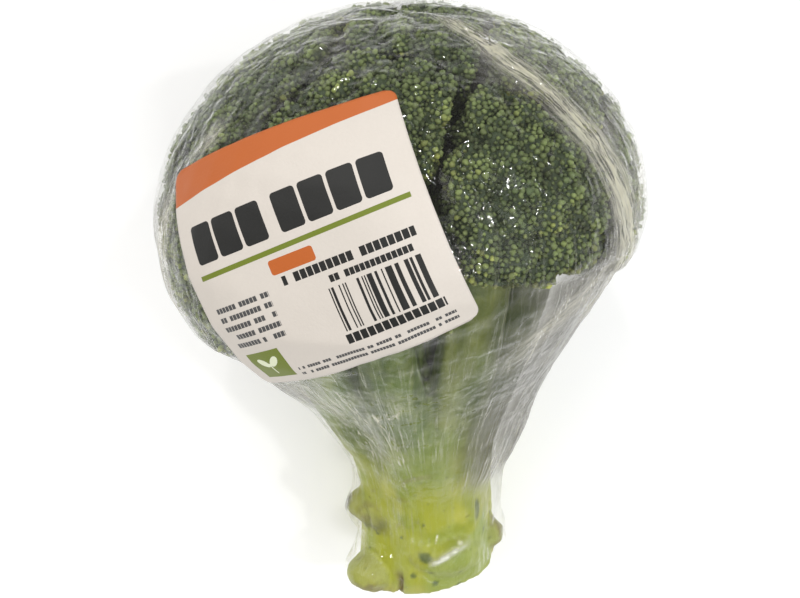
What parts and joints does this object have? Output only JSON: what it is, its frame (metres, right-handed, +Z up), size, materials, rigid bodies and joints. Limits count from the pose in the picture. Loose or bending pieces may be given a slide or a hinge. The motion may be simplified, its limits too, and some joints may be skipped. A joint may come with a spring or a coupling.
{
  "type": "broccoli head",
  "caption": "Broccoli head wrapped in clear film with a square paper label, lying on its side with the cut stem end bare.",
  "frame": {"origin": "middle of the underside of the bounding box, on the surface the head lies on", "axes": "+Y from the cut stem end towards the top of the crown, +Z up from the surface to the labelled side, +X to the right seen from above with the crown away from the viewer"},
  "size_m": [0.1354, 0.1702, 0.1291],
  "materials": {
    "buds": "matte",
    "stem": "satin",
    "leaf_stub": "satin",
    "film": "gloss",
    "label": "matte"
  },
  "bodies": {
    "root": {"branch_crown": "stem", "branch_outer_1": "stem", "branch_outer_2": "stem", "branch_outer_3": "stem", "branch_outer_4": "stem", "branch_outer_5": "stem", "branch_outer_6": "stem", "branch_outer_7": "stem", "branch_outer_8": "stem", "branch_upper_1": "stem", "branch_upper_2": "stem", "branch_upper_3": "stem", "branch_upper_4": "stem", "branch_upper_5": "stem", "film_wrap": "film", "floret_crown": "buds", "floret_outer_1": "buds", "floret_outer_2": "buds", "floret_outer_3": "buds", "floret_outer_4": "buds", "floret_outer_5": "buds", "floret_outer_6": "buds", "floret_outer_7": "buds", "floret_outer_8": "buds", "floret_upper_1": "buds", "floret_upper_2": "buds", "floret_upper_3": "buds", "floret_upper_4": "buds", "floret_upper_5": "buds", "leaf_stub_front": "leaf_stub", "leaf_stub_left": "leaf_stub", "leaf_stub_low_left": "leaf_stub", "leaf_stub_right": "leaf_stub", "main_stalk": "stem", "paper_label": "label"}
  },
  "joints": []
}
